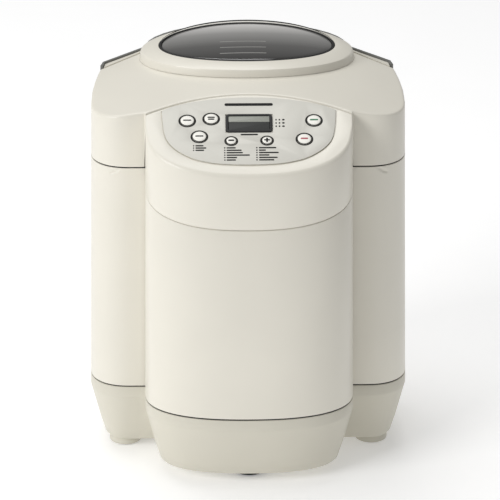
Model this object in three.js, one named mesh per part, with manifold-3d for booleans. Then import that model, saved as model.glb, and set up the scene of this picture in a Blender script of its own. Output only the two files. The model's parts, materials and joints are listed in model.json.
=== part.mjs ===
// Upright bread machine with a four-lobed plan, built as separate pieces.
// Millimetres, +Z up. The origin is on the floor, under the middle of the body.
import * as THREE from 'three';
import { mergeVertices } from 'three/addons/utils/BufferGeometryUtils.js';
import Module from 'manifold-3d';

const wasm = await Module();
wasm.setup();

// ---------------------------------------------------------------- dimensions
const DRAFT = 0.0001247;        // outline growth per mm below the reference height
const Z_REF = 200;              // height at which the plan outline is drawn
const BASE_BOTTOM = 9;          // underside of the base tray
const BASE_CREASE = 57.5;       // where the base starts to taper in
const BASE_SEAM = 68.3;         // joint between base tray and body
const BASE_INSET = 13.5;        // taper of the base at its foot
const BODY_TOP = 277.7;         // top edge of the body shell
const LID_BOTTOM = 278.7;       // lower edge of the lid skirt
const WALL = 2.8;               // moulded wall thickness
const LOBE = { a: 91, yc: -80, b: 54.7, n: 2.4 };      // front lobe
const SIDE_FRONT = -64.2;       // front of the two side lobes
const CORNER = { x: 104, y: -26, a: 35.8, b: 38.2, n: 2.3 };
const REAR = { a: 93, yc: 76, b: 58.8, n: 2.3 };       // rear lobe
const LID = { zc: 345.35, cx: 0.000808, cy: 0.000698, yc: 53.17 }; // crowned lid top
const FACE = { y: -135.8, z: 296.65, deg: 24.48 };     // slanted control face
const SEAM_SLOPE = 0.365;       // slope of the joint under the control housing
const SEAM_Z = 247.5;           // height of that joint at the front
const ARC = { y: -44.6, drop: 20.4, half: 88 };        // top edge of the control face in plan
const WIN = { y: 53.17, rx: 79.1, ry: 51.6 };          // window rim
const RING = { bx: 96.4, bf: 66.2, br: 58, cx: 94.8, cf: 65.4, cr: 56.5, hc: 7, hg: 9.2 };
const HINGE = { y: 118.5, z: 338.3, pin: 1.5 };        // lid hinge axis, along X
const PAN_Y = 34;               // axis of pan, chamber and drive
const MOTOR_Y = -98;            // motor axis, in the front lobe
const CHAMBER_R = 86, CHAMBER_Z0 = 74, CHAMBER_Z1 = 271;
const BELT_Z = 46;              // mid-height of the drive belt
const BIG_R = 42, SMALL_R = 8;  // pulley radii at the belt
const BAIL_Z = 200, BAIL_R = 74.5;                     // pan handle pivot height and reach
const SCOOP = { x: 127, y: -49, z0: 246, depth: 3.4 }; // finger scoops on the front corners
const GAP = 0.3;

// ------------------------------------------------------------------ helpers
const K = (z) => 1 + (Z_REF - z) * DRAFT;
const surf = (x, y) => LID.zc - LID.cx * x * x - LID.cy * (y - LID.yc) ** 2;
const faceZ = (y) => FACE.z + (y - FACE.y) * Math.tan(FACE.deg * Math.PI / 180);
const seamZ = (y) => SEAM_Z + SEAM_SLOPE * (y + 134);
const arcY = (x) => ARC.y - ARC.drop * (x / ARC.half) ** 2;

function clean(geo) {
  let g = geo.index ? geo.toNonIndexed() : geo.clone();
  for (const k of Object.keys(g.attributes)) if (k !== 'position') g.deleteAttribute(k);
  g = mergeVertices(g, 1e-4);
  const ix = g.index.array, keep = [];
  for (let i = 0; i < ix.length; i += 3) {
    const [a, b, c] = [ix[i], ix[i + 1], ix[i + 2]];
    if (a !== b && b !== c && a !== c) keep.push(a, b, c);
  }
  const p = g.attributes.position.array;
  let vol = 0;
  for (let i = 0; i < keep.length; i += 3) {
    const [a, b, c] = [keep[i] * 3, keep[i + 1] * 3, keep[i + 2] * 3];
    vol += p[a] * (p[b + 1] * p[c + 2] - p[b + 2] * p[c + 1])
         - p[a + 1] * (p[b] * p[c + 2] - p[b + 2] * p[c])
         + p[a + 2] * (p[b] * p[c + 1] - p[b + 1] * p[c]);
  }
  if (vol < 0) for (let i = 0; i < keep.length; i += 3) [keep[i + 1], keep[i + 2]] = [keep[i + 2], keep[i + 1]];
  g.setIndex(keep);
  return g;
}
function solid(geo) {
  const g = clean(geo);
  return new wasm.Manifold(new wasm.Mesh({ numProp: 3,
    vertProperties: new Float32Array(g.attributes.position.array), triVerts: new Uint32Array(g.index.array) }));
}
function geometry(man) {
  const m = man.getMesh(), g = new THREE.BufferGeometry();
  g.setAttribute('position', new THREE.BufferAttribute(new Float32Array(m.vertProperties), 3));
  g.setIndex(Array.from(m.triVerts));
  return clean(g);
}
const cut = (a, ...bs) => { let m = solid(a); for (const b of bs) m = m.subtract(solid(b)); return geometry(m); };
const join = (...gs) => { let m = solid(gs[0]); for (const b of gs.slice(1)) m = m.add(solid(b)); return geometry(m); };

// Skin over a list of rings with equal point counts. loop closes last to first, else both ends get caps.
function skin(rings, loop) {
  const n = rings[0].length, pos = [], idx = [];
  for (const r of rings) for (const p of r) pos.push(p[0], p[1], p[2]);
  const m = rings.length, last = loop ? m : m - 1;
  for (let i = 0; i < last; i++) {
    const a = i * n, b = ((i + 1) % m) * n;
    for (let j = 0; j < n; j++) {
      const k = (j + 1) % n;
      idx.push(a + j, a + k, b + k, a + j, b + k, b + j);
    }
  }
  if (!loop) for (const [r, flip] of [[0, true], [m - 1, false]]) {
    const tri = THREE.ShapeUtils.triangulateShape(rings[r].map((p) => new THREE.Vector2(p[0], p[1])), []);
    for (const [a, b, c] of tri) flip ? idx.push(r * n + a, r * n + c, r * n + b) : idx.push(r * n + a, r * n + b, r * n + c);
  }
  const g = new THREE.BufferGeometry();
  g.setAttribute('position', new THREE.Float32BufferAttribute(pos, 3));
  g.setIndex(idx);
  return clean(g);
}
const mirror = (right) => {     // right half, front to back, to a closed counter-clockwise outline
  const left = right.slice().reverse().filter((p) => Math.abs(p[0]) > 1e-6).map(([x, y]) => [-x, y]);
  return right.concat(left);
};
function inset(pts, d) {        // mitred inward offset of a counter-clockwise outline
  if (!d) return pts.map((p) => p.slice());
  const n = pts.length, out = [];
  for (let i = 0; i < n; i++) {
    const a = pts[(i + n - 1) % n], b = pts[i], c = pts[(i + 1) % n];
    let e1 = [b[0] - a[0], b[1] - a[1]], e2 = [c[0] - b[0], c[1] - b[1]];
    const l1 = Math.hypot(...e1), l2 = Math.hypot(...e2);
    const n1 = [-e1[1] / l1, e1[0] / l1], n2 = [-e2[1] / l2, e2[0] / l2];
    const s = [n1[0] + n2[0], n1[1] + n2[1]], q = 1 + n1[0] * n2[0] + n1[1] * n2[1];
    out.push([b[0] + d * s[0] / q, b[1] + d * s[1] / q]);
  }
  return out;
}
const ring = (pts, d, z) => inset(pts, d).map(([x, y]) => {   // z is a number or a function of the drafted point
  const zz = typeof z === 'function' ? z(x, y) : z, k = K(zz);
  return [x * k, y * k, zz];
});
const se = (t, a, b, n) => [a * Math.sign(Math.sin(t)) * Math.abs(Math.sin(t)) ** (2 / n), b * Math.sign(Math.cos(t)) * Math.abs(Math.cos(t)) ** (2 / n)];
const range = (n) => Array.from({ length: n }, (_, i) => i);

const lobeRight = range(11).map((i) => { const [x, y] = se(i / 10 * Math.PI / 2, LOBE.a, LOBE.b, LOBE.n); return [x, LOBE.yc - y]; });
const cornerRight = range(8).map((i) => { const [x, y] = se(i / 7 * Math.PI / 2, CORNER.a, CORNER.b, CORNER.n); return [CORNER.x + x, CORNER.y - y]; });
const flankRight = [[139.4, -4], [137.4, 16], [134.8, 34]];
const rearRight = range(9).map((i) => { const [y, x] = se(0.09 + i / 8 * (Math.PI / 2 - 0.09), REAR.b, REAR.a, REAR.n); return [i === 8 ? 0 : x, REAR.yc + y]; });
const outlineAll = mirror([...lobeRight, [91.4, SIDE_FRONT], [98, SIDE_FRONT], ...cornerRight, ...flankRight, [131.2, 55.5], [94.6, 77.9], ...rearRight]);
const outlineBody = mirror([[0, SIDE_FRONT], [30, SIDE_FRONT], [60, SIDE_FRONT], [91.4, SIDE_FRONT], ...cornerRight, ...flankRight, [131.2, 55.5], [94.6, 77.9], ...rearRight]);

const box = (x0, y0, z0, x1, y1, z1) => { const g = new THREE.BoxGeometry(x1 - x0, y1 - y0, z1 - z0); g.translate((x0 + x1) / 2, (y0 + y1) / 2, (z0 + z1) / 2); return g; };
const cyl = (r, z0, z1, x = 0, y = 0, seg = 24, r2 = r) => { const g = new THREE.CylinderGeometry(r2, r, z1 - z0, seg); g.rotateX(Math.PI / 2); g.translate(x, y, (z0 + z1) / 2); return g; };
const cylX = (r, x0, x1, y, z, seg = 16) => { const g = new THREE.CylinderGeometry(r, r, x1 - x0, seg); g.rotateZ(Math.PI / 2); g.translate((x0 + x1) / 2, y, z); return g; };
const cylY = (r, y0, y1, x, z, seg = 16, r2 = r) => { const g = new THREE.CylinderGeometry(r2, r, y1 - y0, seg); g.translate(x, (y0 + y1) / 2, z); return g; };
const lathe = (pts, seg, x = 0, y = 0) => { const g = new THREE.LatheGeometry(pts.map(([r, z]) => new THREE.Vector2(r, z)), seg); g.rotateX(Math.PI / 2); g.translate(x, y, 0); return clean(g); };
const plate = (pts, z0, z1) => { const g = new THREE.ExtrudeGeometry(new THREE.Shape(pts.map(([x, y]) => new THREE.Vector2(x, y))), { depth: z1 - z0, bevelEnabled: false }); g.translate(0, 0, z0); return clean(g); };
function tube(points, r, steps, sides = 8) {
  const s = new THREE.Shape(range(sides).map((i) => new THREE.Vector2(r * Math.cos(2 * Math.PI * i / sides), r * Math.sin(2 * Math.PI * i / sides))));
  return clean(new THREE.ExtrudeGeometry(s, { steps, extrudePath: new THREE.CatmullRomCurve3(points.map((p) => new THREE.Vector3(...p)), false, 'centripetal'), bevelEnabled: false }));
}
const closed = (pts) => [...pts, pts[0]];
const INLET = { x: 42, y: 132.2, z: 92, turn: -14.4 };   // cord inlet on the rear wall, square to the wall
const toInlet = (g) => { g.rotateZ(INLET.turn * Math.PI / 180); g.translate(INLET.x, INLET.y, INLET.z); return g; };

// ------------------------------------------------------------------ assembly
const machine = new THREE.Group();
const FINISH = {
  cream: [0xe6e2d6, 0.42, 0], creamLight: [0xece9df, 0.42, 0], overlay: [0xd9d7cb, 0.5, 0], black: [0x16161a, 0.5, 0],
  darkGrey: [0x4c4d4e, 0.6, 0], rubber: [0x1d1d1d, 0.9, 0], glass: [0x55585a, 0.08, 0], lcd: [0x7d857a, 0.2, 0],
  steel: [0xb9bcbf, 0.4, 0.9], aluminium: [0xc7c9cb, 0.45, 0.9], nonstick: [0x2c2c2e, 0.55, 0.2], board: [0x2f6b3c, 0.6, 0],
  brass: [0xb58b45, 0.4, 0.9], nylon: [0xdcd9cc, 0.6, 0], heater: [0x6f6a64, 0.5, 0.7],
};
function add(name, geo, finish, parent = machine) {
  const [color, roughness, metalness] = FINISH[finish];
  const g = clean(geo);
  g.computeVertexNormals();
  const m = new THREE.Mesh(g, new THREE.MeshStandardMaterial({ color, roughness, metalness }));
  m.name = name;
  parent.add(m);
  return m;
}

const dent = ([x, y, z]) => {      // finger scoop at each front corner, just below the lid joint
  const h = Math.max(0, Math.min(1, (z - SCOOP.z0) / 30));
  const d = SCOOP.depth * h * h * Math.exp(-(((Math.abs(x) - SCOOP.x) / 9) ** 2)) * Math.exp(-(((y - SCOOP.y) / 9) ** 2));
  return [x - Math.sign(x) * d * 0.7, y + d * 0.7, z];
};
// --- base tray: tapered skirt and floor in one moulding, with air slots in the floor
{
  const rings = [ring(outlineAll, BASE_INSET + 1.8, BASE_BOTTOM), ring(outlineAll, BASE_INSET - 0.6, BASE_BOTTOM + 2.4), ring(outlineAll, 4.2, 42),
    ring(outlineAll, 0.1, BASE_CREASE), ring(outlineAll, 0, BASE_SEAM - 0.4), ring(outlineAll, WALL, BASE_SEAM - 0.4),
    ring(outlineAll, WALL + 0.2, BASE_CREASE), ring(outlineAll, WALL + 4.4, 42), ring(outlineAll, BASE_INSET + WALL, BASE_BOTTOM + 3)];
  const slots = [-2, -1, 0, 1, 2].map((i) => box(i * 14 - 2.5, -66, 0, i * 14 + 2.5, -38, 20));
  add('base_tray', cut(skin(rings, false), ...slots), 'cream');
}
// --- feet: a plastic cup under each lobe, with a rubber pad
for (const [n, x, y] of [['left', -111.5, -32], ['right', 111.5, -32], ['front', 0, -96.4], ['rear', 0, 98]]) {
  add(`foot_${n}`, lathe([[0, 3.3], [10.7, 3.3], [10.7, 1.3], [13.8, 1.3], [14.6, 2.6], [14.6, BASE_BOTTOM - GAP], [0, BASE_BOTTOM - GAP]], 20, x, y), n === 'front' ? 'rubber' : 'creamLight');
  add(`foot_pad_${n}`, lathe([[0, 0], [9.6, 0], [10.3, 0.8], [10.3, 3], [0, 3]], 20, x, y), 'rubber');
}
// --- body shell: side lobes, rear lobe and the bulkhead behind the front lobe
{
  const levels = [BASE_SEAM + 0.6, 246, 258, 268, BODY_TOP];
  const wall = skin([...levels.map((z) => ring(outlineBody, 0, z).map(dent)), ...levels.slice().reverse().map((z) => ring(outlineBody, WALL, z).map(dent))], true);
  const slots = range(6).map((i) => box(-38, 120, 178 + i * 9, 38, 145, 182 + i * 9));
  add('body_shell', cut(wall, ...slots, toInlet(cylY(9.3, -14, 14, 0, 0, 20)), box(-9, -70, 200, 9, -58, 214)), 'cream');
}
// --- cord inlet bush in the rear wall (the lead itself is not part of this model)
{
  add('cord_inlet', toInlet(cut(join(cylY(9, -9, 0.5, 0, 0, 20), cylY(10.5, 0.5, 2.2, 0, 0, 20, 9.8)), cylY(5.6, -12, 6, 0, 0, 16))), 'black');
}
// --- front cover: lower panel of the front lobe
const lobeCurve = (d, yEnd) => {     // lobe outline left to right through the front, clipped at yEnd
  const right = [...lobeRight, [91, yEnd]];
  const all = right.slice().reverse().map(([x, y]) => [-x, y]).concat(right.slice(1));
  if (!d) return all;
  return all.map(([x, y], i) => {
    const a = all[Math.max(0, i - 1)], b = all[Math.min(all.length - 1, i + 1)];
    let t = [b[0] - a[0], b[1] - a[1]]; const l = Math.hypot(...t);
    if (i === 0 || i === all.length - 1) return [x - Math.sign(x) * d, y];
    return [x - d * t[1] / l, y + d * t[0] / l];
  });
};
{
  const outer = lobeCurve(0, -65.2), inner = lobeCurve(WALL, -65.2).reverse();
  const c = outer.concat(inner);
  const top = (x, y) => seamZ(y) - 0.4;
  add('front_cover', skin([ring(c, 0, BASE_SEAM + 0.6), ring(c, 0, top)], false), 'cream');
}
// --- control housing: upper part of the front lobe with the slanted face
const faceGroup = new THREE.Group();
faceGroup.position.set(0, FACE.y, FACE.z);
faceGroup.rotation.x = FACE.deg * Math.PI / 180;
machine.add(faceGroup);
const BUTTONS = [['select_button', -53.4, 68, 6.1], ['loaf_button', -32.7, 70.2, 6.1], ['crust_button', -43, 48.8, 6.1],
  ['minus_button', -15.6, 43.5, 4.4], ['plus_button', 15.2, 43.8, 4.4], ['start_button', 56.2, 67.8, 6.1], ['stop_button', 47.4, 45.3, 6.1]];
const LCD = { x: 20.2, v0: 53.9, v1: 75.6 };
{
  const back = range(9).map((i) => { const x = 90.6 - i * 181.2 / 8; return [x, arcY(x) / 0.984]; });
  const lobe = lobeCurve(0, -68);
  const shape = lobe.concat(back);
  const botZ = (x, y) => (y > -67 ? BODY_TOP + 0.7 : seamZ(y) + 0.4);
  const put = (pts, zf) => pts.map(([x, y]) => { const z = zf(x, y), k = K(z); return [x * k, y * k, z]; });
  const topOf = (dz) => (pts) => pts.map(([x, y]) => { let z = 310; for (let i = 0; i < 8; i++) z = faceZ(y * K(z)) - dz; const k = K(z); return [x * k, y * k, z]; });
  const outer = skin([put(shape, botZ), topOf(0)(shape)], false);
  const inner = lobeCurve(2.6, -72).concat(range(9).map((i) => { const x = 87.5 - i * 175 / 8; return [x, arcY(x) / 0.984 - 2.8]; }));
  const hollow = skin([put(inner, (x, y) => botZ(x, y) - 30), topOf(2.9)(inner)], false);
  const toFace = (g) => { g.rotateX(FACE.deg * Math.PI / 180); g.translate(0, FACE.y, FACE.z); return g; };
  const holes = BUTTONS.map(([, x, v, r]) => toFace(cyl(r + 0.5, -6, 4, x, v, 20)));
  holes.push(toFace(box(-LCD.x + 1.6, LCD.v0 + 1.6, -6, LCD.x - 1.6, LCD.v1 - 1.6, 4)));
  add('control_housing', cut(outer, hollow, box(-100, -64.8, 200, 100, -20, BODY_TOP + 0.7), ...holes), 'cream');
}
// --- label panel on the slanted face
{
  const right = [[0, 15.5], [14, 15.9], [28, 17.2], [40, 20], [50, 24], [60, 31], [67, 38.5], [71.5, 47], [74, 60], [75.4, 79.6], [66, 85.6], [52, 90], [36, 93.4], [18, 95.6], [0, 96.4]];
  const g = plate(mirror(right), 0.35, 0.95);
  const holes = BUTTONS.map(([, x, v, r]) => cyl(r + 0.4, -3, 4, x, v, 20));
  holes.push(box(-LCD.x - 0.35, LCD.v0 - 0.35, -3, LCD.x + 0.35, LCD.v1 + 0.35, 4));
  add('control_overlay', cut(g, ...holes), 'overlay', faceGroup);
}
const rrect = (x0, y0, x1, y1, r, n = 4) => {
  const out = [];
  for (const [cx, cy, a0] of [[x1 - r, y0 + r, -90], [x1 - r, y1 - r, 0], [x0 + r, y1 - r, 90], [x0 + r, y0 + r, 180]])
    for (let i = 0; i <= n; i++) { const a = (a0 + 90 * i / n) * Math.PI / 180; out.push([cx + r * Math.cos(a), cy + r * Math.sin(a)]); }
  return out;
};
add('display_bezel', cut(plate(rrect(-LCD.x, LCD.v0, LCD.x, LCD.v1, 3), 0.35, 1.7), plate(rrect(-LCD.x + 2.2, LCD.v0 + 2.2, LCD.x - 2.2, LCD.v1 - 2.2, 1.6), -1, 3)), 'black', faceGroup);
add('display_module', plate(rrect(-LCD.x + 2.5, LCD.v0 + 2.5, LCD.x - 2.5, LCD.v1 - 2.5, 1.2, 2), -6, 1.2), 'lcd', faceGroup);
for (const [n, x, v, r] of BUTTONS) add(n, lathe([[0, -7.6], [r - 1.6, -7.6], [r - 1.6, -2], [r, -2], [r, 1.1], [r - 0.8, 1.8], [0, 2]], 20, x, v), 'creamLight', faceGroup);
add('control_board', box(-66, 24, -12.4, 66, 72, -10.8), 'board', faceGroup);
// --- power board and transformer on the bulkhead, in the front lobe
add('power_board', box(-62, -70, 146, 62, -68.4, 232), 'board');
add('power_transformer', join(box(-52, -98, 170, -10, -74, 206), box(-42, -103, 174, -20, -74, 202), box(-48, -75, 174, -14, -70.3, 202)), 'steel');

// --- chassis plate carrying chamber, bearing and motor
{
  const p = ring(outlineAll, 12, 60).map(([x, y]) => [x, y]);
  add('chassis_plate', cut(plate(p, 60, 62), cyl(9.2, 50, 70, 0, PAN_Y, 24), cyl(12, 50, 70, 0, MOTOR_Y, 24), box(-30, -60, 50, 30, -48, 70)), 'steel');
}
add('bearing_housing', lathe(closed([[4.4, 52], [8.8, 52], [8.8, 62.4], [26, 62.4], [26, 65.4], [11, 66.5], [11, 73.6], [4.4, 73.6]]), 28, 0, PAN_Y), 'aluminium');
{
  const tub = lathe(closed([[9, CHAMBER_Z0], [84, CHAMBER_Z0], [87, CHAMBER_Z0 + 3], [87, CHAMBER_Z1 - 1.2], [93, CHAMBER_Z1 - 1.2], [93, CHAMBER_Z1], [CHAMBER_R, CHAMBER_Z1], [CHAMBER_R, CHAMBER_Z0 + 3.4], [83.6, CHAMBER_Z0 + 1.1], [9, CHAMBER_Z0 + 1.1]]), 36, 0, PAN_Y);
  add('baking_chamber', cut(tub, cylY(4, -62, -40, -14, 98, 16), cylY(4, -62, -40, 14, 98, 16), cylY(3.6, -62, -30, 36, 130, 16)), 'aluminium');
}
// --- heating element: open loop with two terminals through the chamber wall
{
  const pts = [[-14, -57, 98], [-14, -46, 98], [-16.5, -40.5, 98]];
  for (let i = 0; i <= 24; i++) { const a = (-90 - 17 - i * (360 - 34) / 24) * Math.PI / 180; pts.push([77.5 * Math.cos(a), PAN_Y + 77.5 * Math.sin(a), 98]); }
  pts.push([16.5, -40.5, 98], [14, -46, 98], [14, -57, 98]);
  add('heating_element', tube(pts, 3.2, 52, 6), 'heater');
}
add('temperature_probe', join(cylY(3.2, -57, -38, 36, 130, 16), cylY(5, -58, -52, 36, 130, 12)), 'steel');
// --- pan socket on the chamber floor: collar with two hooks
{
  const collar = lathe(closed([[46.5, 75.5], [52, 75.5], [52, 77.2], [49, 77.2], [49, 92], [46.5, 92]]), 28, 0, PAN_Y);
  add('pan_socket', join(collar, box(43.3, PAN_Y - 9, 88.8, 47.6, PAN_Y + 9, 92), box(-47.6, PAN_Y - 9, 88.8, -43.3, PAN_Y + 9, 92)), 'aluminium');
}
// --- motor above the plate, pulleys and belt below it
add('motor', join(cyl(28, 66, 132, 0, MOTOR_Y, 32), cyl(11, 62.6, 67, 0, MOTOR_Y, 24), cyl(10, 131, 137, 0, MOTOR_Y, 24)), 'steel');
{
  const b = (s) => s < 0 ? box(-37, MOTOR_Y - 9, 62.4, -29, MOTOR_Y + 9, 96) : box(29, MOTOR_Y - 9, 62.4, 37, MOTOR_Y + 9, 96);
  add('motor_clamp_left', b(-1), 'steel');
  add('motor_clamp_right', b(1), 'steel');
}
add('motor_shaft', cyl(3, 38, 62.2, 0, MOTOR_Y, 16), 'steel');
add('motor_pulley', lathe(closed([[3.3, BELT_Z - 6], [SMALL_R + 2.5, BELT_Z - 6], [SMALL_R + 2.5, BELT_Z - 4.2], [SMALL_R, BELT_Z - 3.6], [SMALL_R, BELT_Z + 3.6], [SMALL_R + 2.5, BELT_Z + 4.2], [SMALL_R + 2.5, BELT_Z + 6], [3.3, BELT_Z + 6]]), 24, 0, MOTOR_Y), 'nylon');
add('drive_pulley', cut(lathe(closed([[4.3, BELT_Z - 6], [12, BELT_Z - 6], [12, BELT_Z - 2], [BIG_R - 6, BELT_Z - 2], [BIG_R - 6, BELT_Z - 5], [BIG_R + 2, BELT_Z - 5], [BIG_R + 2, BELT_Z - 4.2], [BIG_R, BELT_Z - 3.6], [BIG_R, BELT_Z + 3.6], [BIG_R + 2, BELT_Z + 4.2], [BIG_R + 2, BELT_Z + 5], [BIG_R - 6, BELT_Z + 5], [BIG_R - 6, BELT_Z + 2], [12, BELT_Z + 2], [12, BELT_Z + 5.2], [4.3, BELT_Z + 5.2]]), 28, 0, PAN_Y),
  ...range(5).map((i) => cyl(6, 30, 60, 24 * Math.cos(i * 1.2566), PAN_Y + 24 * Math.sin(i * 1.2566), 8))), 'nylon');
{
  const d = PAN_Y - MOTOR_Y, loop = (gr) => {
    const R = BIG_R + gr, r = SMALL_R + gr, b = Math.asin((R - r) / d), out = [];
    for (let i = 0; i <= 20; i++) { const a = -b + i * (Math.PI + 2 * b) / 20; out.push([R * Math.cos(a), PAN_Y + R * Math.sin(a)]); }
    for (let i = 0; i <= 8; i++) { const a = Math.PI + b + i * (Math.PI - 2 * b) / 8; out.push([r * Math.cos(a), MOTOR_Y + r * Math.sin(a)]); }
    return out;
  };
  add('drive_belt', cut(plate(loop(1.9), BELT_Z - 3, BELT_Z + 3), plate(loop(0.35), BELT_Z - 5, BELT_Z + 5)), 'rubber');
}
add('drive_shaft', cyl(4, 37, 79, 0, PAN_Y, 20), 'steel');
add('drive_coupler', join(lathe([[0, 79.4], [13, 79.4], [13, 82.4], [0, 82.4]], 28, 0, PAN_Y), box(-3.5, PAN_Y + 6.5, 82, 3.5, PAN_Y + 12.4, 90), box(-3.5, PAN_Y - 12.4, 82, 3.5, PAN_Y - 6.5, 90)), 'steel');

// --- bread pan with skirt, lugs and handle ears
{
  const pan = lathe(closed([[4.5, 92.4], [39.6, 92.4], [39.6, 84.6], [41.8, 84.6], [41.8, 92.4], [58.5, 92.4], [62, 96], [64.8, 221], [67.2, 223], [67.2, 226], [64.2, 226], [63.4, 222], [60.6, 97.6], [57.5, 94.4], [4.5, 94.4]]), 32, 0, PAN_Y);
  let m = solid(pan);
  for (const s of [-1, 1]) {
    m = m.add(solid(box(s < 0 ? -45.6 : 41, PAN_Y - 5, 84.8, s < 0 ? -41 : 45.6, PAN_Y + 5, 88)));
    m = m.add(solid(box(s < 0 ? -70.4 : 63.2, PAN_Y - 6.5, 192, s < 0 ? -63.2 : 70.4, PAN_Y + 6.5, 207)));
    m = m.subtract(solid(cylX(2.5, s < 0 ? -80 : 67.4, s < 0 ? -67.4 : 80, PAN_Y, BAIL_Z, 16)));
  }
  add('bread_pan', geometry(m), 'nonstick');
}
{
  const pts = [[-67.8, PAN_Y, BAIL_Z], [-72.2, PAN_Y, BAIL_Z], [-73.9, PAN_Y + 1.4, BAIL_Z]];
  for (let i = 1; i < 24; i++) { const a = Math.PI - i * Math.PI / 24; pts.push([BAIL_R * Math.cos(a), PAN_Y + BAIL_R * Math.sin(a), BAIL_Z]); }
  pts.push([73.9, PAN_Y + 1.4, BAIL_Z], [72.2, PAN_Y, BAIL_Z], [67.8, PAN_Y, BAIL_Z]);
  add('pan_handle', tube(pts, 2, 34, 6), 'steel');
}
add('pan_shaft', join(cyl(4.1, 84.2, 108, 0, PAN_Y, 20), box(-11.5, PAN_Y - 3, 84.2, 11.5, PAN_Y + 3, 89)), 'steel');
add('kneading_paddle', cut(join(cyl(9.5, 95.2, 112, 0, PAN_Y, 24, 7), plate([[6, -3], [30, -2.2], [34, 0], [30, 2.2], [6, 3]].map(([x, y]) => [x, y + PAN_Y]), 96, 116)), cyl(4.4, 90, 108.4, 0, PAN_Y, 20)), 'nonstick');

// --- deck around the chamber mouth
{
  const n = outlineBody.length, dn = inset(outlineBody, WALL + 0.5);
  const hole = outlineBody.map(([x, y]) => { const a = Math.atan2(y - PAN_Y, x); return [89.4 * Math.cos(a), PAN_Y + 89.4 * Math.sin(a)]; });
  const flat = (pts, z) => pts.map(([x, y]) => [x, y, z]);
  const edge = dn.map(([x, y]) => dent([x * K(274), y * K(274), BODY_TOP]));
  add('top_deck', skin([flat(edge, CHAMBER_Z1 + 0.4), flat(edge, CHAMBER_Z1 + 3.4), flat(hole, CHAMBER_Z1 + 3.4), flat(hole, CHAMBER_Z1 + 0.4)], true), 'cream');
}
// --- rear hinge cover, hollow and open below, with a dark vent strip on its back edge
const rearInner = [[132.6, 41.8], [98.6, 66.4], [84.1, 88.6], [71, 104], [52, 113.4], [36, 118], [18, 120.6], [0, 121.6]];
{
  const outR = [[134.8, 34].map((v) => v), [131.2, 55.5], [94.6, 77.9], ...rearRight];
  const startOuter = [133.4, 42.6];
  const outer = [startOuter, ...outR.slice(1)];
  const innerR = rearInner.map(([x, y], i) => i === 0 ? [132.9, 42.6] : [x, y + 0.6]);
  const poly = outer.concat(outer.slice(0, -1).reverse().map(([x, y]) => [-x, y])).concat(innerR.map(([x, y]) => [-x, y])).concat(innerR.slice(0, -1).reverse());
  const at = (pts, zf) => pts.map(([x, y]) => { const s = K(333); const z = zf(x * s, y * s), k = K(z); return [x * k, y * k, z]; });
  const block = skin([at(poly, () => LID_BOTTOM + 0.1), at(poly, (x, y) => surf(x, y))], false);
  const away = ([x, y], a, yc, b, d) => { const u = x / (a * a), v = (y - yc) / (b * b), l = Math.hypot(u, v); return [x + d * u / l, y + d * v / l]; };
  const hollowOut = rearRight.slice(2).map((q) => away(q, REAR.a, REAR.yc, REAR.b, -2.8));
  const hollowIn = [[80.5, 98], ...rearInner.slice(3).map((q) => away(q, 92, 64, 57, 3.4))];
  const room = hollowOut.concat(hollowOut.slice(0, -1).reverse().map(([x, y]) => [-x, y]))
    .concat(hollowIn.map(([x, y]) => [-x, y])).concat(hollowIn.slice(0, -1).reverse());
  const hollow = skin([at(room, () => LID_BOTTOM - 10), at(room, (x, y) => surf(x, y) - 10.8)], false);
  // strip space: everything within 3.9 mm of the outer edge, above the strip seat
  const band = (d0, d1, lo, hi, x0) => {
    const o = outer.concat(outer.slice(0, -1).reverse().map(([x, y]) => [-x, y]));
    const off = (d) => o.map((p, i) => { const a = o[Math.max(0, i - 1)], b = o[Math.min(o.length - 1, i + 1)]; const t = [b[0] - a[0], b[1] - a[1]], l = Math.hypot(...t); return [p[0] - d * t[1] / l, p[1] + d * t[0] / l]; });
    const a = off(d0), b = off(d1).reverse();
    if (x0) for (const q of [a[0], a[a.length - 1], b[0], b[b.length - 1]]) q[1] += x0;
    const c = a.concat(b);
    return skin([at(c, (x, y) => surf(x, y) + lo), at(c, (x, y) => surf(x, y) + hi)], false);
  };
  add('rear_cover', cut(block, hollow, band(-3, 3.2, -8.2, 8), box(-44, 100, 318, 44, 123, 350)), 'cream');
  add('rear_vent_strip', band(0.2, 2.9, -7.9, 1.6, 4), 'darkGrey');
}
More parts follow.
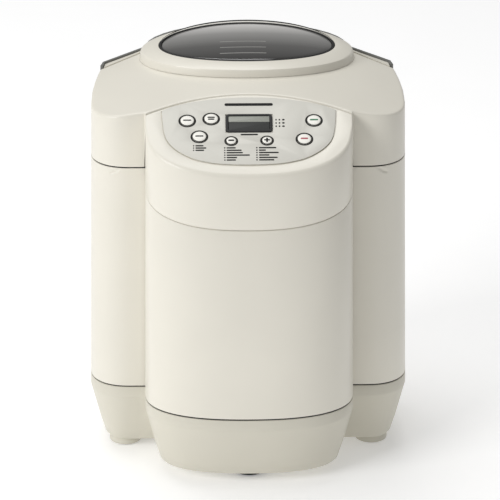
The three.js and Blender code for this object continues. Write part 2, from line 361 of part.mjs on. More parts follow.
// --- lid shell: crowned top with skirts on the side lobes and an oval opening
const lidRight = [...[0, 22, 44, 62, 78, 89.4].map((x) => [x / 0.983, (arcY(x) + 1.0) / 0.983]), [92.1, SIDE_FRONT], [98.5, SIDE_FRONT], ...cornerRight, [139.4, -4], [137.4, 16], [134.9, 33], [133.2, 41.4],
  [98.4, 65.6], [83.5, 87.5], [70.6, 103], [52, 112], [36, 115.6], [18, 116.4], [0, 116.4]];
const lidOutline = mirror(lidRight);
{
  const n = lidRight.length, isSkirt = (i) => { const j = i < n ? i : 2 * n - 2 - i; return j >= 6 && j <= 18; };
  const winAng = lidOutline.map(([x, y]) => Math.atan2((y - WIN.y) / 48, x / 75));
  const put = (pts, zf) => pts.map(([x, y], i) => { const z = zf(x * K(330), y * K(330), i), k = K(z); return [x * k, y * k, z]; });
  const low = (x, y, i) => isSkirt(i) ? LID_BOTTOM : surf(x, y) - 8;
  const oval = (f, dz) => lidOutline.map(([x, y], i) => {
    const a = winAng[i], ex = 75.2 * Math.cos(a), ey = WIN.y + 48 * Math.sin(a);
    const p = inset(lidOutline, 3)[i], k = K(335);
    const X = ex + (p[0] * k - ex) * f, Y = ey + (p[1] * k - ey) * f;
    return [X, Y, surf(X, Y) - dz];
  });
  const rings = [put(lidOutline, low), put(lidOutline, (x, y) => surf(x, y) - 2.6), put(inset(lidOutline, 0.9), (x, y) => surf(x, y) - 0.7), put(inset(lidOutline, 3), (x, y) => surf(x, y)),
    oval(0.66, 0), oval(0.33, 0), oval(0, 0), oval(0, 2.6), oval(0.4, 2.6), put(inset(lidOutline, 2.8), (x, y) => surf(x, y) - 3.4), put(inset(lidOutline, 2.8), low)];
  add('lid_shell', skin(rings, true), 'cream');
}
// --- raised window surround, gasket and domed smoked window
const oval = (rx, rf, rr, h, n = 40) => range(n).map((i) => {
  const a = 2 * Math.PI * i / n, x = rx * Math.cos(a), y = WIN.y + (Math.sin(a) > 0 ? rr : rf) * Math.sin(a);
  return [x, y, surf(x, y) + h];
});
add('window_ring', skin([oval(RING.bx, RING.bf, RING.br, GAP), oval(RING.cx, RING.cf, RING.cr, RING.hc), oval(WIN.rx, WIN.ry, WIN.ry, RING.hg), oval(WIN.rx, WIN.ry, WIN.ry, 3.4), oval(74, 46.5, 46.5, 3.4), oval(74, 46.5, 46.5, GAP)], true), 'cream');
add('window_gasket', skin([oval(78.7, 51.2, 51.2, 3.8), oval(78.7, 51.2, 51.2, 9.5), oval(76.4, 48.9, 48.9, 9.5), oval(76.4, 48.9, 48.9, 3.8)], true), 'rubber');
add('window_lens', skin([oval(50, 32, 32, 6.6), oval(76, 48.5, 48.5, 5), oval(76, 48.5, 48.5, 8.5), oval(62, 39.6, 39.6, 9.6), oval(38, 24, 24, 10.3)], false), 'glass');
// --- lid liner: flat inner panel with a tunnel up to the window opening
{
  const n = 40;
  const out = range(n).map((i) => {
    const a = 2 * Math.PI * i / n, c = Math.cos(a), s = Math.sin(a);
    const e = 2.6, r = 1 / (Math.abs(c / 100) ** e + Math.abs(s / (s > 0 ? 66 : 70)) ** e) ** (1 / e);
    return [r * c, 35 + r * s];
  });
  const flat = (pts, z) => pts.map(([x, y]) => [x, y, z]);
  const el = (rx, ry, yc) => out.map(([x, y]) => { const a = Math.atan2((y - 35) / 68, x / 100); return [rx * Math.cos(a), yc + ry * Math.sin(a)]; });
  const up = (pts) => pts.map(([x, y]) => [x, y, surf(x, y) - 3.1]);
  add('lid_liner', skin([flat(out, 284), flat(out, 286.4), flat(el(72.4, 46, 44), 286.4), up(el(72.4, 46.4, WIN.y)), up(el(70.4, 44.4, WIN.y)), flat(el(70.4, 44, 44), 284)], true), 'aluminium');
}
// --- hinge: one pin in two brackets on the body, two knuckled leaves on the lid
add('hinge_pin', cylX(HINGE.pin, -41, 41, HINGE.y, HINGE.z, 16), 'steel');
for (const [n, s] of [['left', -1], ['right', 1]]) {
  const X = (a, b) => s > 0 ? [a, b] : [-b, -a];
  const [k0, k1] = X(10, 29.5), [b0, b1] = X(30.2, 41);
  const leaf = join(cylX(3, k0, k1, HINGE.y, HINGE.z, 20), box(k0, 106, 330.6, k1, HINGE.y + 0.5, 333.3), box(k0, HINGE.y - 3, 332, k1, HINGE.y + 0.4, HINGE.z));
  add(`hinge_leaf_${n}`, cut(leaf, cylX(1.8, k0 - 1, k1 + 1, HINGE.y, HINGE.z, 16), box(k0 - 1, 104, 334.5, k1 + 1, 115, 345)), 'steel');
  const br = join(cylX(3, b0, b1, HINGE.y, HINGE.z, 20), box(b0, HINGE.y - 3, 318.3, b1, HINGE.y + 1.2, HINGE.z));
  add(`hinge_bracket_${n}`, cut(br, cylX(1.8, b0 - 1, b1 + 1, HINGE.y, HINGE.z, 16)), 'steel');
}
// --- screws through the base floor into the chassis
for (const [n, x, y] of [['left', -70, 20], ['right', 70, 20]]) {
  add(`base_screw_${n}`, join(cyl(2, 12.6, 59.4, x, y, 12), cyl(4, 12.4, 15, x, y, 16)), 'steel');
}
export default machine;
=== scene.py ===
import bpy, bmesh, json, math
from mathutils import Matrix, Vector


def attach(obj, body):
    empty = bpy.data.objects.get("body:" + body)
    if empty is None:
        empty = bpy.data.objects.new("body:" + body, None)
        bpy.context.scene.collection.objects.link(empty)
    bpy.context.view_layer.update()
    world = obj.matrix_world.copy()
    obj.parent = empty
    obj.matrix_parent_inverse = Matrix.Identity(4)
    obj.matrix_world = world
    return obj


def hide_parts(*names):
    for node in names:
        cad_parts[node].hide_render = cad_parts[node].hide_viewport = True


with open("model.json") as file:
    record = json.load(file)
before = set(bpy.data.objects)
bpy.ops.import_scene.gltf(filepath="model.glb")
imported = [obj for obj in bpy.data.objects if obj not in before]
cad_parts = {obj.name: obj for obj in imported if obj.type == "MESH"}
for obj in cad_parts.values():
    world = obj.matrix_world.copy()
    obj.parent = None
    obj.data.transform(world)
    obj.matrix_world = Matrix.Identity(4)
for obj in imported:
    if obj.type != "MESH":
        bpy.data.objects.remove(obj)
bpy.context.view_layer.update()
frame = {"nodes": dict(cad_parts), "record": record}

# ---------------------------------------------------------------- dimensions (mm), the same as the CAD
K = lambda z: 1 + (200 - z) * 0.0001247
surf = lambda x, y: 345.35 - 0.000808 * x * x - 0.000698 * (y - 53.17) ** 2
TAN = math.tan(math.radians(24.48))
FY, FZ = -135.8, 296.65
face_z = lambda y: FZ + (y - FY) * TAN
seam_z = lambda y: 247.5 + 0.365 * (y + 134)
arc_y = lambda x: -44.6 - 20.4 * (x / 88) ** 2
SF = -64.2
WALL = 2.8
WY = 53.17
PAN_Y = 34

def se(t, a, b, n):
    s, c = math.sin(t), math.cos(t)
    return a * math.copysign(abs(s) ** (2 / n), s), b * math.copysign(abs(c) ** (2 / n), c)

lobe_r = [(x, -80 - y) for x, y in (se(i / 36 * math.pi / 2, 91, 54.7, 2.4) for i in range(37))]
corner_r = [(104 + x, -26 - y) for x, y in (se(i / 48 * math.pi / 2, 35.8, 38.2, 2.3) for i in range(49))]
rear_r = []
for i in range(29):
    y, x = se(0.09 + i / 28 * (math.pi / 2 - 0.09), 58.8, 93, 2.3)
    rear_r.append((0.0 if i == 28 else x, 76 + y))
def dense(pts, n):
    out = []
    for a, b in zip(pts, pts[1:]):
        out += [(a[0] + (b[0] - a[0]) * k / n, a[1] + (b[1] - a[1]) * k / n) for k in range(n)]
    return out + [pts[-1]]
flank = dense([(139.4, -4), (137.4, 16), (134.8, 34), (131.2, 55.5)], 4)
neck = dense([(131.2, 55.5), (94.6, 77.9)], 5)[1:]
def mirror(right):
    return right + [(-x, y) for x, y in reversed(right) if abs(x) > 1e-6]
outline_all = mirror(lobe_r + [(91.4, SF), (98, SF)] + corner_r + flank + neck + rear_r)
outline_body = mirror([(0, SF), (30, SF), (60, SF), (91.4, SF)] + corner_r + flank + neck + rear_r)

def inset(p, d):
    if not d:
        return list(p)
    n, out = len(p), []
    for i in range(n):
        a, b, c = p[i - 1], p[i], p[(i + 1) % n]
        u, v = (b[0] - a[0], b[1] - a[1]), (c[0] - b[0], c[1] - b[1])
        lu, lv = math.hypot(*u) or 1, math.hypot(*v) or 1
        n1, n2 = (-u[1] / lu, u[0] / lu), (-v[1] / lv, v[0] / lv)
        q = max(0.3, 1 + n1[0] * n2[0] + n1[1] * n2[1])
        out.append((b[0] + d * (n1[0] + n2[0]) / q, b[1] + d * (n1[1] + n2[1]) / q))
    return out

def ring(p, d, z, move=None):
    out = []
    for x, y in inset(p, d):
        zz = z(x, y) if callable(z) else z
        k = K(zz)
        q = (x * k, y * k, zz)
        out.append(move(q) if move else q)
    return out

# ---------------------------------------------------------------- mesh tools
def obj_from(name, verts, faces, matrix=None):
    me = bpy.data.meshes.new(name)
    me.from_pydata([tuple(c / 1000 for c in v) for v in verts], [], faces)
    bm = bmesh.new(); bm.from_mesh(me)
    bmesh.ops.remove_doubles(bm, verts=bm.verts, dist=1e-7)
    bmesh.ops.recalc_face_normals(bm, faces=bm.faces)
    if bm.calc_volume(signed=True) < 0:
        bmesh.ops.reverse_faces(bm, faces=bm.faces)
    bm.to_mesh(me); bm.free()
    o = bpy.data.objects.new(name, me)
    bpy.context.scene.collection.objects.link(o)
    if matrix is not None:
        me.transform(matrix)
    return o

def skin(name, rings, loop=False, matrix=None):
    n, verts, faces = len(rings[0]), [p for r in rings for p in r], []
    m = len(rings)
    for i in range(m if loop else m - 1):
        a, b = i * n, (i + 1) % m * n
        faces += [(a + j, a + (j + 1) % n, b + (j + 1) % n, b + j) for j in range(n)]
    if not loop:
        faces += [tuple(reversed(range(n))), tuple(range((m - 1) * n, m * n))]
    return obj_from(name, verts, faces, matrix)

def lathe(name, prof, seg, x=0, y=0, matrix=None):
    verts, faces, rows = [], [], []
    for r, z in prof:
        if r < 1e-6:
            rows.append([len(verts)]); verts.append((x, y, z))
        else:
            rows.append(list(range(len(verts), len(verts) + seg)))
            verts += [(x + r * math.cos(2 * math.pi * i / seg), y + r * math.sin(2 * math.pi * i / seg), z) for i in range(seg)]
    pairs = list(zip(rows, rows[1:]))
    if len(rows[0]) > 1 and len(rows[-1]) > 1:
        pairs.append((rows[-1], rows[0]))
    for a, b in pairs:
        for i in range(seg):
            j = (i + 1) % seg
            f = ([a[0]] if len(a) == 1 else [a[i], a[j]]) + ([b[0]] if len(b) == 1 else [b[j], b[i]])
            if len(f) > 2:
                faces.append(tuple(f))
    return obj_from(name, verts, faces, matrix)

def boxm(x0, y0, z0, x1, y1, z1):
    return skin('cutter', [[(x0, y0, z0), (x1, y0, z0), (x1, y1, z0), (x0, y1, z0)], [(x0, y0, z1), (x1, y0, z1), (x1, y1, z1), (x0, y1, z1)]])

def apply_all(o):
    dg = bpy.context.evaluated_depsgraph_get()
    me = bpy.data.meshes.new_from_object(o.evaluated_get(dg))
    o.modifiers.clear()
    old = o.data; o.data = me; bpy.data.meshes.remove(old)

def carve(o, *cutters):
    for c in cutters:
        m = o.modifiers.new('cut', 'BOOLEAN'); m.operation = 'DIFFERENCE'; m.solver = 'EXACT'; m.object = c
    bpy.context.view_layer.update()
    apply_all(o)
    for c in cutters:
        bpy.data.objects.remove(c, do_unlink=True)
    return o

def soften(o, w=0.6, seg=2, angle=35):
    if w:
        b = o.modifiers.new('edge', 'BEVEL'); b.width = w / 1000; b.segments = seg
        b.limit_method = 'ANGLE'; b.angle_limit = math.radians(angle); b.use_clamp_overlap = True
        bpy.context.view_layer.update(); apply_all(o)
    o.data.shade_smooth()
    o.data.set_sharp_from_angle(angle=math.radians(38))
    return o

FACE = Matrix.Translation((0, FY / 1000, FZ / 1000)) @ Matrix.Rotation(math.radians(24.48), 4, 'X')

# ---------------------------------------------------------------- materials
def lin(c):
    c = [v / 255 for v in c]
    return [v / 12.92 if v <= 0.04045 else ((v + 0.055) / 1.055) ** 2.4 for v in c] + [1]

def material(name, rgb, rough=0.4, metal=0.0, vary=0.03, grain=900, bump=0.02, rvar=0.06, coat=0.0, brush=None, **sockets):
    m = bpy.data.materials.new(name); m.use_nodes = True
    t = m.node_tree; N, L = t.nodes, t.links
    p = N['Principled BSDF']
    c = lin(rgb)
    tc = N.new('ShaderNodeTexCoord'); mp = N.new('ShaderNodeMapping')
    L.new(tc.outputs['Object'], mp.inputs['Vector'])
    if brush:
        mp.inputs['Scale'].default_value = brush
    n1 = N.new('ShaderNodeTexNoise'); n1.inputs['Scale'].default_value = 14; n1.inputs['Detail'].default_value = 4
    n2 = N.new('ShaderNodeTexNoise'); n2.inputs['Scale'].default_value = grain; n2.inputs['Detail'].default_value = 3
    L.new(tc.outputs['Object'], n1.inputs['Vector']); L.new(mp.outputs['Vector'], n2.inputs['Vector'])
    ramp = N.new('ShaderNodeValToRGB')
    ramp.color_ramp.elements[0].position = 0.3; ramp.color_ramp.elements[1].position = 0.7
    ramp.color_ramp.elements[0].color = [v * (1 - vary) for v in c[:3]] + [1]
    ramp.color_ramp.elements[1].color = [min(1, v * (1 + vary * 0.6)) for v in c[:3]] + [1]
    L.new(n1.outputs['Fac'], ramp.inputs['Fac']); L.new(ramp.outputs['Color'], p.inputs['Base Color'])
    mr = N.new('ShaderNodeMapRange'); mr.inputs['To Min'].default_value = max(0.02, rough - rvar); mr.inputs['To Max'].default_value = rough + rvar
    L.new(n2.outputs['Fac'] if brush else n1.outputs['Fac'], mr.inputs['Value']); L.new(mr.outputs['Result'], p.inputs['Roughness'])
    b = N.new('ShaderNodeBump'); b.inputs['Strength'].default_value = bump; b.inputs['Distance'].default_value = 0.0004
    L.new(n2.outputs['Fac'], b.inputs['Height']); L.new(b.outputs['Normal'], p.inputs['Normal'])
    p.inputs['Metallic'].default_value = metal
    p.inputs['Coat Weight'].default_value = coat
    for k, v in sockets.items():
        p.inputs[k.replace('_', ' ')].default_value = v
    return m

M = {
    'shell': material('cream_plastic', (228, 224, 212), 0.36, vary=0.02, grain=1400, bump=0.05, coat=0.08),
    # darker copy of the cream plastic: painted shade for the base tray and the side and rear feet
    'shell_painted_shade': material('cream_plastic_painted_shade', (212, 208, 194), 0.42, vary=0.02, grain=1400, bump=0.06, coat=0.04),
    'light': material('button_plastic', (240, 238, 230), 0.34, vary=0.015, grain=1400, bump=0.04),
    'overlay': material('label_film', (211, 209, 200), 0.45, vary=0.02, grain=2200, bump=0.06),
    'black': material('black_plastic', (13, 13, 14), 0.62, vary=0.1, grain=1400, bump=0.08),
    'dark_grey': material('grey_plastic', (112, 112, 109), 0.5, vary=0.06, grain=1400, bump=0.08),
    'rubber': material('soft_rubber', (24, 24, 24), 0.75, vary=0.1, grain=800, bump=0.15),
    'smoked_glass': material('smoked_window_painted_reflection', (62, 62, 61), 0.07, vary=0.02, grain=300, bump=0.004, rvar=0.02, coat=0.5, Alpha=0.9),
    'lcd_dark': material('display_lower', (38, 40, 38), 0.6, vary=0.03, grain=900, bump=0.02),
    'lcd_light': material('display_upper', (150, 152, 143), 0.45, vary=0.03, grain=900, bump=0.02),
    'steel': material('plated_steel', (170, 170, 172), 0.34, 1.0, vary=0.05, grain=220, bump=0.08, brush=(1, 1, 14)),
    'aluminium': material('satin_aluminium', (200, 201, 203), 0.38, 1.0, vary=0.04, grain=160, bump=0.08, brush=(1, 1, 18)),
    'nonstick': material('nonstick_coating', (40, 40, 42), 0.45, 0.2, vary=0.12, grain=1800, bump=0.25),
    'board': material('circuit_board', (28, 92, 50), 0.45, vary=0.15, grain=600, bump=0.1),
    'nylon': material('nylon', (220, 217, 205), 0.5, vary=0.03, grain=900, bump=0.1),
    'heater': material('oxidised_sheath', (112, 106, 98), 0.5, 0.8, vary=0.2, grain=500, bump=0.2),
    # light grey of the moulded lens lines: painted highlight of their lit edges
    'glass_line_painted_highlight': material('moulded_line', (150, 149, 146), 0.25, vary=0.03, grain=900, bump=0.02),
    'ink': material('printed_ink', (9, 9, 10), 0.85, vary=0.1, grain=2500, bump=0.05),
    'green_ink': material('green_ink', (52, 120, 84), 0.5, vary=0.08, grain=2500, bump=0.05),
    'red_ink': material('red_ink', (168, 72, 82), 0.5, vary=0.08, grain=2500, bump=0.05),
}
def put(o, mat, slot, body, *nodes):
    o.data.materials.clear(); o.data.materials.append(M[mat])
    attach(o, body)
    if nodes:
        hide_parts(*nodes)
    return o
for s in frame['record']['subparts']:      # every CAD node that stays gets its procedural material
    o = frame['nodes'][s['node']]
    mat = M['lcd_dark'] if s['material_slot'] == 'lcd' else M[s['material_slot']]
    if o.material_slots:
        for q in o.material_slots:
            q.material = mat
    else:
        o.data.materials.append(mat)

# ---------------------------------------------------------------- casing
def step(t):
    t = max(0.0, min(1.0, t)); return t * t * (3 - 2 * t)
def dent(q):          # short diagonal groove at each front corner, just below the lid joint
    x, y, z = q
    d = abs((abs(x) - 113.6) - (276.8 - z) * 1.25) / 1.6
    s = 1.1 * max(0.0, 1 - d / 1.5) * step((277.4 - z) / 1.0) * step((z - 270.5) / 1.6) * step((-30 - y) / 8)
    return (x - math.copysign(s * 0.6, x), y + s * 0.8, z)

# Base tray in the darker cream copy: painted shade on the lower, inward-tapering band.
tray = skin('base_tray_fine', [ring(outline_all, 15.3, 9), ring(outline_all, 12.9, 11.4), ring(outline_all, 8.4, 26), ring(outline_all, 4.2, 42), ring(outline_all, 0.66, 55.4), ring(outline_all, 0.42, 56.3), ring(outline_all, 0.12, 57.2), ring(outline_all, 0, 58), ring(outline_all, 0, 59.2),
    ring(outline_all, 0, 67.7), ring(outline_all, WALL, 67.7), ring(outline_all, WALL + 0.2, 57.5), ring(outline_all, WALL + 4.4, 42), ring(outline_all, 13.5 + WALL, 12)])
put(soften(carve(tray, *[boxm(i * 14 - 2.5, -66, 0, i * 14 + 2.5, -38, 20) for i in range(-2, 3)]), 0.35), 'shell_painted_shade', 'shell', 'housing', 'base_tray')
# Dark strip just inside the wall, spanning a joint gap: painted shade that darkens the seam line.
def gap_shade_strip(name, outline, z0, z1, move=None):
    put(soften(skin(name, [ring(outline, 1, z0, move), ring(outline, 1, z1, move), ring(outline, 1.9, z1, move), ring(outline, 1.9, z0, move)], True), 0), 'rubber', 'rubber', 'housing')
gap_shade_strip('base_joint_painted_shade', outline_all, 67.5, 69.3)

levels = [69.1, 120, 180, 230, 246] + [262, 268] + [269.4 + i * 0.8 for i in range(10)] + [277.5]
body = skin('body_shell_fine', [ring(outline_body, 0, z, dent) for z in levels] + [ring(outline_body, WALL, z, dent) for z in reversed(levels)], True)
inlet = lathe('cutter', [(0, -14), (9.3, -14), (9.3, 14), (0, 14)], 48, matrix=Matrix.Translation((0.042, 0.1322, 0.092)) @ Matrix.Rotation(math.radians(-14.4), 4, 'Z') @ Matrix.Rotation(math.radians(-90), 4, 'X'))
put(soften(carve(body, inlet, boxm(-9, -70, 200, 9, -58, 214), *[boxm(-38, 120, 178 + i * 9, 38, 145, 182 + i * 9) for i in range(6)]), 0.35), 'shell', 'shell', 'housing', 'body_shell')
# Lid joint: dark strip as painted shade in the seam.
gap_shade_strip('lid_joint_painted_shade', outline_body, 277.3, 278.2, dent)

def lobe_curve(d, y_end):
    right = lobe_r + [(91, y_end)]
    pts = [(-x, y) for x, y in reversed(right)] + right[1:]
    if not d:
        return pts
    out = []
    for i, (x, y) in enumerate(pts):
        if i in (0, len(pts) - 1):
            out.append((x - math.copysign(d, x), y)); continue
        a, b = pts[i - 1], pts[i + 1]
        t = (b[0] - a[0], b[1] - a[1]); l = math.hypot(*t)
        out.append((x - d * t[1] / l, y + d * t[0] / l))
    return out
c = lobe_curve(0, -65.2) + lobe_curve(WALL, -65.2)[::-1]
put(soften(skin('front_cover_fine', [ring(c, 0, 69.1), ring(c, 0, lambda x, y: seam_z(y) - 0.55)]), 0.4), 'shell', 'shell', 'housing', 'front_cover')

BUTTONS = [('select', -53.4, 68, 6.1), ('loaf', -32.7, 70.2, 6.1), ('crust', -43, 48.8, 6.1), ('minus', -15.6, 43.5, 4.4), ('plus', 15.2, 43.8, 4.4), ('start', 56.2, 67.8, 6.1), ('stop', 47.4, 45.3, 6.1)]
def at_face(pts, dz):
    out = []
    for x, y in pts:
        z = 310
        for _ in range(10):
            z = face_z(y * K(z)) - dz
        out.append((x * K(z), y * K(z), z))
    return out
shape = lobe_curve(0, -67.6) + [(90.6 - i * 181.2 / 48, arc_y(90.6 - i * 181.2 / 48) / 0.984) for i in range(1, 48)]
inner = lobe_curve(2.6, -72) + [(87.5 - i * 175 / 48, arc_y(87.5 - i * 175 / 48) / 0.984 - 2.8) for i in range(49)]
bot = lambda x, y: 278.4 if y > -67 else seam_z(y) + 0.5
low = [(x * K(bot(x, y)), y * K(bot(x, y)), bot(x, y)) for x, y in shape]
hollow_low = [(x, y, z - 30) for (x, y), z in zip(inner, (bot(x, y) for x, y in inner))]
nl = len(lobe_curve(0, -67.6))
def eased(d, dz):
    w = [1.0 if i < nl else 0.22 for i in range(len(shape))]
    for k in range(1, 4):
        w[nl - k] = w[k - 1] = 0.22 + 0.26 * (k - 1)
    full = inset(shape, d)
    out = []
    for (x0, y0), (x1, y1), q in zip(shape, full, w):
        x, y, z = x0 + (x1 - x0) * q, y0 + (y1 - y0) * q, 310
        for _ in range(10):
            z = face_z(y * K(z)) - dz * q
        out.append((x * K(z), y * K(z), z))
    return out
housing = skin('control_housing_fine', [low, eased(0, 3.2), eased(0.3, 1.7), eased(0.95, 0.7), eased(1.8, 0.18), eased(2.6, 0)])
holes = [lathe('cutter', [(0, -6), (r + 0.5, -6), (r + 0.5, 4), (0, 4)], 40, x, v, FACE) for _, x, v, r in BUTTONS]
lcd = boxm(-18.6, 55.5, -6, 18.6, 74, 4); lcd.data.transform(FACE); holes.append(lcd)
def smooth_path(p, n=6):
    out = []
    for i in range(len(p) - 1):
        a, b, c_, d = p[max(0, i - 1)], p[i], p[i + 1], p[min(len(p) - 1, i + 2)]
        for k in range(n):
            t = k / n
            out.append(tuple(0.5 * (2 * b[j] + (c_[j] - a[j]) * t + (2 * a[j] - 5 * b[j] + 4 * c_[j] - d[j]) * t * t + (3 * b[j] - a[j] - 3 * c_[j] + d[j]) * t ** 3) for j in (0, 1)))
    return out + [p[-1]]
label = smooth_path([(0, 15.5), (14, 15.9), (28, 17.2), (40, 20), (50, 24), (60, 31), (67, 38.5), (71.5, 47), (74, 60), (75.4, 79.6)]) + smooth_path([(75.2, 80.4), (66, 85.6), (52, 90), (36, 93.4), (18, 95.6), (0, 96.4)])
lm = mirror(label)
g_out, g_in = inset(lm, -0.75), inset(lm, 0.3)
holes.append(skin('cutter', [[(x, y, -0.7) for x, y in g_out], [(x, y, 2) for x, y in g_out], [(x, y, 2) for x, y in g_in], [(x, y, -0.7) for x, y in g_in]], True, FACE))
put(soften(carve(housing, skin('cutter', [hollow_low, at_face(inner, 2.9)]), boxm(-100, -64.8, 200, 100, -20, 278.4), *holes), 0.7), 'shell', 'shell', 'housing', 'control_housing')

# ---------------------------------------------------------------- control face
def plate(name, pts, z0, z1, matrix=FACE):
    return skin(name, [[(x, y, z0) for x, y in pts], [(x, y, z1) for x, y in pts]], matrix=matrix)
def rrect(x0, y0, x1, y1, r, n=6):
    out = []
    for cx, cy, a0 in ((x1 - r, y0 + r, -90), (x1 - r, y1 - r, 0), (x0 + r, y1 - r, 90), (x0 + r, y0 + r, 180)):
        out += [(cx + r * math.cos(math.radians(a0 + 90 * i / n)), cy + r * math.sin(math.radians(a0 + 90 * i / n))) for i in range(n + 1)]
    return out
ov = plate('control_overlay_fine', mirror(label), 0.35, 0.95)
cuts = [lathe('cutter', [(0, -3), (r + 0.4, -3), (r + 0.4, 4), (0, 4)], 48, x, v, FACE) for _, x, v, r in BUTTONS]
lcd = boxm(-20.55, 53.55, -3, 20.55, 75.95, 4); lcd.data.transform(FACE); cuts.append(lcd)
put(soften(carve(ov, *cuts), 0.15), 'overlay', 'overlay', 'housing', 'control_overlay')
bz = carve(plate('display_bezel_fine', rrect(-20.2, 53.9, 20.2, 75.6, 3), 0.35, 1.7), plate('cutter', rrect(-18, 56.1, 18, 73.4, 1.6), -1, 3))
put(soften(bz, 0.35), 'black', 'black', 'housing', 'display_bezel')
put(soften(plate('display_lower_field', rrect(-17.7, 56.4, 17.7, 66.2, 0.4), -6, 1.2), 0.15), 'lcd_dark', 'lcd', 'housing', 'display_module')
put(soften(plate('display_upper_field', rrect(-17.7, 66.4, 17.7, 73.1, 0.4), -6, 1.2), 0.15), 'lcd_light', 'lcd', 'housing')

def disc(x, v, r0, r1, z0=0.98, z1=1.06):
    return lathe('p', [(r0, z0), (r1, z0), (r1, z1), (r0, z1)], 56, x, v, FACE)
def bar(x0, v0, x1, v1, z0=0.98, z1=1.06):
    return plate('p', rrect(x0, v0, x1, v1, min(x1 - x0, v1 - v0) * 0.45, 3), z0, z1)
def merge(name, objs):
    bm = bmesh.new()
    for o in objs:
        bm.from_mesh(o.data); bpy.data.objects.remove(o, do_unlink=True)
    me = bpy.data.meshes.new(name); bm.to_mesh(me); bm.free()
    o = bpy.data.objects.new(name, me); bpy.context.scene.collection.objects.link(o)
    return o
ink = [disc(x, v, r + 0.42, r + 1.55) for _, x, v, r in BUTTONS]
for r in range(3):                                       # small marks in place of words
    ink += [bar(22.8, 60.2 + r * 3.9, 24, 62.0 + r * 3.9), bar(25.6, 60.2 + r * 3.9, 27, 62.0 + r * 3.9), bar(28.6, 60.2 + r * 3.9, 30.8, 62.0 + r * 3.9)]
    ink += [bar(-48.5, 31.9 + r * 2.7, -47.5, 33.4 + r * 2.7), bar(-46.5, 31.9 + r * 2.7, -46.5 + (7.5, 9.4, 7)[r], 33.4 + r * 2.7)]
for i in range(6):
    v = 34.6 - i * 2.9
    ink += [bar(-21.9, v, -20.7, v + 1.5), bar(-19.8, v, -19.8 + (8, 13, 14, 20, 9, 8)[i], v + 1.5), bar(5.6, v, 6.9, v + 1.5), bar(8, v, 8 + (15, 6, 17, 9, 16, 13)[i], v + 1.5)]
ink += [bar(-7.5, 50.3, 7.5, 52.0), bar(-21, 86.0, 21, 89.2)]
put(soften(merge('printed_marks', ink), 0), 'ink', 'black', 'housing')

for n, x, v, r in BUTTONS:
    prof = [(0, -7.6), (r - 1.6, -7.6), (r - 1.6, -2), (r, -2), (r, 1.0), (r - 0.15, 1.35), (r - 0.5, 1.62), (r - 1.1, 1.8), (r * 0.5, 1.95), (0, 2.0)]
    put(soften(lathe(n + '_button_fine', prof, 56, x, v, FACE), 0), 'light', 'light', n + '_key', n + '_button')
    put(soften(lathe(n + '_cap_ring', [(r + 0.03, 0.95), (r + 0.03, 1.03), (r - 0.1, 1.41), (r - 0.3, 1.55), (r - 0.3, 1.4), (r - 0.2, 0.95)], 56, x, v, FACE), 0), 'ink', 'black', n + '_key')
    z0, z1 = 1.9, 2.0
    if n == 'minus': g = [bar(x - 2.6, v - 0.9, x + 2.6, v + 0.9, z0, z1 + .06)]
    elif n == 'plus': g = [bar(x - 2.6, v - 0.8, x + 2.6, v + 0.8, z0, z1 + .06), bar(x - 0.8, v - 2.6, x + 0.8, v + 2.6, z0, z1 + .09)]
    elif n == 'start': g = [bar(x - 3.6, v - 0.9, x + 3.6, v + 0.9, z0, z1 + .06)]
    elif n == 'stop': g = [bar(x - 3.2, v - 0.9, x + 3.2, v + 0.9, z0, z1 + .06)]
    elif n == 'loaf': g = [bar(x - 3.2, v + 0.4, x + 3.2, v + 1.9, z0, z1 + .06), bar(x - 2.8, v - 1.9, x + 2.8, v - 0.4, z0, z1 + .06)]
    else: g = [bar(x - 3.5, v - 0.7, x + 3.5, v + 0.7, z0, z1 + .06)]
    mk = soften(merge(n + '_mark', g), 0)
    put(mk, {'start': 'green_ink', 'stop': 'red_ink'}.get(n, 'ink'), 'black', n + '_key')

# ---------------------------------------------------------------- lid
lid_r = [(x / 0.983, (arc_y(x) + 1.0) / 0.983) for x in [i * 89.4 / 20 for i in range(21)]] + [(92.1, SF), (98.5, SF)] + corner_r
lid_r += dense([(139.4, -4), (137.4, 16), (134.9, 33), (133.2, 41.4)], 3)
n_front, n_skirt = 21, len(lid_r)
lid_r += dense([(98.4, 65.6), (83.5, 87.5), (70.6, 103), (52, 112), (36, 115.6), (18, 116.4), (0, 116.4)], 4)
lid_o = mirror(lid_r)
NR = len(lid_r)
def skirt(i):
    j = i if i < NR else 2 * NR - 2 - i
    return n_front <= j < n_skirt
def lid_ring(d, f):
    out = []
    for i, (x, y) in enumerate(inset(lid_o, d)):
        z = f(x * K(330), y * K(330), i)
        out.append((x * K(z), y * K(z), z))
    return out
lid_low = lambda x, y, i: 278.9 if skirt(i) else surf(x, y) - 8
edge3 = inset(lid_o, 3)
def lid_oval(f, dz):
    out = []
    for (x, y), (px, py) in zip(lid_o, edge3):
        a = math.atan2((y - WY) / 48, x / 75)
        ex, ey, k = 75.2 * math.cos(a), WY + 48 * math.sin(a), K(335)
        X, Y = ex + (px * k - ex) * f, ey + (py * k - ey) * f
        out.append((X, Y, surf(X, Y) - dz))
    return out
rings = [lid_ring(0, lid_low), lid_ring(0, lambda x, y, i: (278.7 + surf(x, y)) / 2 if skirt(i) else surf(x, y) - 5), lid_ring(0, lambda x, y, i: surf(x, y) - 1.7), lid_ring(0.1, lambda x, y, i: surf(x, y) - 1.2), lid_ring(0.4, lambda x, y, i: surf(x, y) - 0.55),
    lid_ring(0.9, lambda x, y, i: surf(x, y) - 0.15), lid_ring(1.6, lambda x, y, i: surf(x, y)), lid_ring(3, lambda x, y, i: surf(x, y))]
rings += [lid_oval(f, 0) for f in (0.86, 0.7, 0.5, 0.3, 0.12, 0)] + [lid_oval(0, 2.6), lid_oval(0.4, 2.6), lid_ring(2.8, lambda x, y, i: surf(x, y) - 3.4), lid_ring(2.8, lid_low)]
put(soften(skin('lid_shell_fine', rings, True), 0), 'shell', 'shell', 'lid', 'lid_shell')

